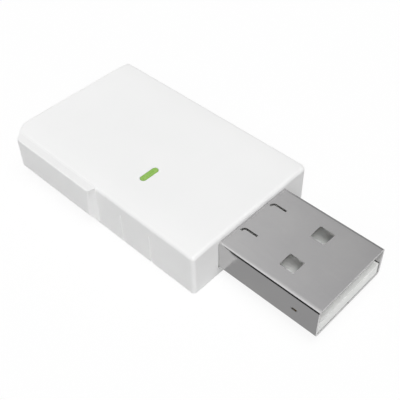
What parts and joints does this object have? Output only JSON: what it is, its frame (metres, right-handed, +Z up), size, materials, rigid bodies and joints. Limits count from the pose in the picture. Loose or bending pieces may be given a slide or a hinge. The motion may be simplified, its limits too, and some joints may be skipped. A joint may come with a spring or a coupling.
{
  "type": "usb bluetooth gateway",
  "caption": "Slim white stick with a rounded box casing, a raised grip pad on one long side, a small light bar in the top and a steel plug at one end.",
  "frame": {"origin": "middle of the bounding box's footprint, on the plane that the flat underside lies on", "axes": "+X along the plug towards its tip, +Z up out of the top with the light bar; the long side with the grip pad faces -Y"},
  "size_m": [0.0466, 0.0212, 0.0066],
  "materials": {
    "casing_plastic": "smooth satin white",
    "light_plastic": "clear, lit green",
    "plug_steel": "polished nickel plate",
    "plug_plastic": "off-white moulded",
    "contact_gold": "gold plate",
    "board_laminate": "green solder mask",
    "chip_plastic": "black moulding compound",
    "shield_steel": "tinned sheet",
    "ceramic": "fired ceramic"
  },
  "bodies": {
    "root": {"top_cover": "casing_plastic", "bottom_cover": "casing_plastic", "light_pipe": "light_plastic", "main_board": "board_laminate", "plug_shell": "plug_steel", "plug_housing": "plug_plastic", "power_contact": "contact_gold", "data_minus_contact": "contact_gold", "data_plus_contact": "contact_gold", "ground_contact": "contact_gold", "radio_chip": "chip_plastic", "shield_can": "shield_steel", "crystal": "shield_steel", "chip_antenna": "ceramic", "usb_chip": "chip_plastic", "flash_memory": "chip_plastic", "voltage_regulator": "chip_plastic", "status_led": "ceramic", "resettable_fuse": "chip_plastic", "surge_protector": "chip_plastic", "ferrite_bead": "ceramic", "capacitors": "ceramic", "resistors": "chip_plastic"}
  },
  "joints": []
}
